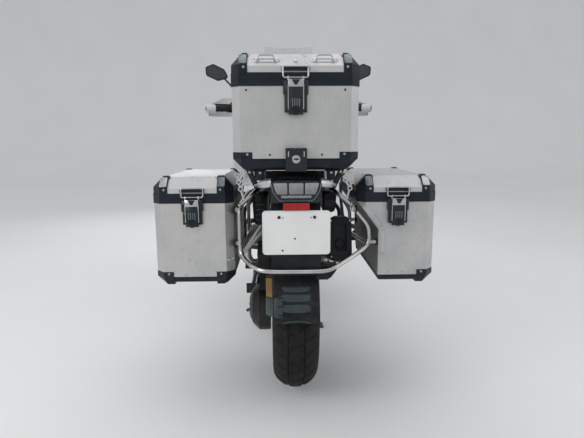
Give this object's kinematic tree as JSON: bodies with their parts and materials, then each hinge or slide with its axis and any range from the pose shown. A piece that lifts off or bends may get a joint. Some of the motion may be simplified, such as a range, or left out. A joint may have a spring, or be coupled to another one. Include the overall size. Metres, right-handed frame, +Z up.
{
  "type": "adventure motorcycle with luggage cases",
  "caption": "Flat-twin adventure motorcycle on its centre stand, with an aluminium top case and panniers that open, turning wheels and turning steering.",
  "frame": {"origin": "on the floor, below the middle of the bounding box", "axes": "+Z up, +Y towards the front wheel, +X to the rider's right"},
  "size_m": [0.984, 2.1809, 1.54],
  "materials": {
    "frame_paint": "satin",
    "engine_alloy": "satin cast",
    "guard_alloy": "brushed",
    "dark_alloy": "satin",
    "spring_paint": "gloss",
    "stainless": "polished",
    "silencer_black": "satin",
    "tank_paint": "gloss",
    "panel_silver": "satin metallic",
    "black_plastic": "fine grain",
    "lamp_glass": "clear",
    "screen_clear": "clear",
    "seat_cover": "grained",
    "bar_black": "satin powder coat",
    "plate_white": "gloss",
    "lamp_smoke": "gloss",
    "caliper_gold": "satin",
    "case_alloy": "bead blasted",
    "case_black": "fine grain",
    "slider_black": "satin",
    "chrome_tube": "polished",
    "grip_rubber": "matte",
    "guard_grey": "satin",
    "tyre_rubber": "matte",
    "rim_dark": "satin",
    "disc_steel": "ground"
  },
  "bodies": {
    "chassis": {"main_frame": "frame_paint", "engine_case": "engine_alloy", "cylinders": "engine_alloy", "sump_guard": "guard_alloy", "swingarm": "dark_alloy", "spring_struts": "spring_paint", "telelever_arm": "frame_paint", "exhaust_pipes": "stainless", "silencer": "silencer_black", "fuel_tank": "tank_paint", "tank_panels": "panel_silver", "airbox": "black_plastic", "nose_fairing": "black_plastic", "headlamp": "lamp_glass", "windscreen": "screen_clear", "instrument_panel": "black_plastic", "rider_seat": "seat_cover", "pillion_seat": "seat_cover", "crash_bars": "bar_black", "fog_lamps": "black_plastic", "footpegs": "dark_alloy", "tail_unit": "black_plastic", "tail_cheeks": "panel_silver", "number_plate": "plate_white", "tail_lamp": "lamp_smoke", "rear_hugger": "black_plastic", "rear_caliper": "caliper_gold", "pannier_racks": "stainless", "top_carrier": "case_black", "top_case_shell": "case_alloy", "pannier_shells": "case_alloy", "case_feet": "case_black", "case_rims": "case_black", "case_fittings": "case_black", "stand_mounts": "frame_paint"},
    "steering": {"fork_sliders": "slider_black", "fork_stanchions": "chrome_tube", "front_calipers": "caliper_gold", "front_mudguard": "black_plastic", "handlebar": "bar_black", "grips_and_levers": "grip_rubber", "hand_guards": "guard_grey", "mirrors": "black_plastic"},
    "front_wheel": {"front_tyre": "tyre_rubber", "front_rim": "rim_dark", "front_discs": "disc_steel"},
    "rear_wheel": {"rear_tyre": "tyre_rubber", "rear_rim": "rim_dark", "rear_disc": "disc_steel"},
    "top_case_lid": {"top_case_lid": "case_alloy", "top_case_lid_trim": "case_black"},
    "left_pannier_lid": {"left_pannier_lid": "case_alloy", "left_pannier_lid_trim": "case_black"},
    "right_pannier_lid": {"right_pannier_lid": "case_alloy", "right_pannier_lid_trim": "case_black"},
    "centre_stand": {"centre_stand": "dark_alloy"},
    "side_stand": {"side_stand": "dark_alloy"}
  },
  "joints": [
    {"name": "steering_turn", "type": "hinge", "parent": "chassis", "child": "steering", "pos_m": [0, 0.3828, 0.9974], "axis": [0, -0.4305, 0.9026], "range_deg": [-38, 38]},
    {"name": "front_wheel_spin", "type": "hinge", "parent": "steering", "child": "front_wheel", "pos_m": [0, 0.7655, 0.325], "axis": [1, 0, 0], "continuous": true},
    {"name": "rear_wheel_spin", "type": "hinge", "parent": "chassis", "child": "rear_wheel", "pos_m": [0, -0.7445, 0.338], "axis": [1, 0, 0], "continuous": true},
    {"name": "top_lid_open", "type": "hinge", "parent": "chassis", "child": "top_case_lid", "pos_m": [0, -0.6845, 1.201], "axis": [-1, 0, 0], "range_deg": [0, 95]},
    {"name": "left_lid_open", "type": "hinge", "parent": "chassis", "child": "left_pannier_lid", "pos_m": [-0.3475, -0.4845, 0.815], "axis": [-1, 0, 0], "range_deg": [0, 95]},
    {"name": "right_lid_open", "type": "hinge", "parent": "chassis", "child": "right_pannier_lid", "pos_m": [0.3475, -0.4845, 0.815], "axis": [-1, 0, 0], "range_deg": [0, 95]},
    {"name": "centre_stand_fold", "type": "hinge", "parent": "chassis", "child": "centre_stand", "pos_m": [0, -0.1995, 0.29], "axis": [-1, 0, 0], "range_deg": [0, 85]},
    {"name": "side_stand_swing", "type": "hinge", "parent": "chassis", "child": "side_stand", "pos_m": [-0.192, -0.1045, 0.3], "axis": [0.9397, 0, -0.342], "range_deg": [0, 100]}
  ]
}
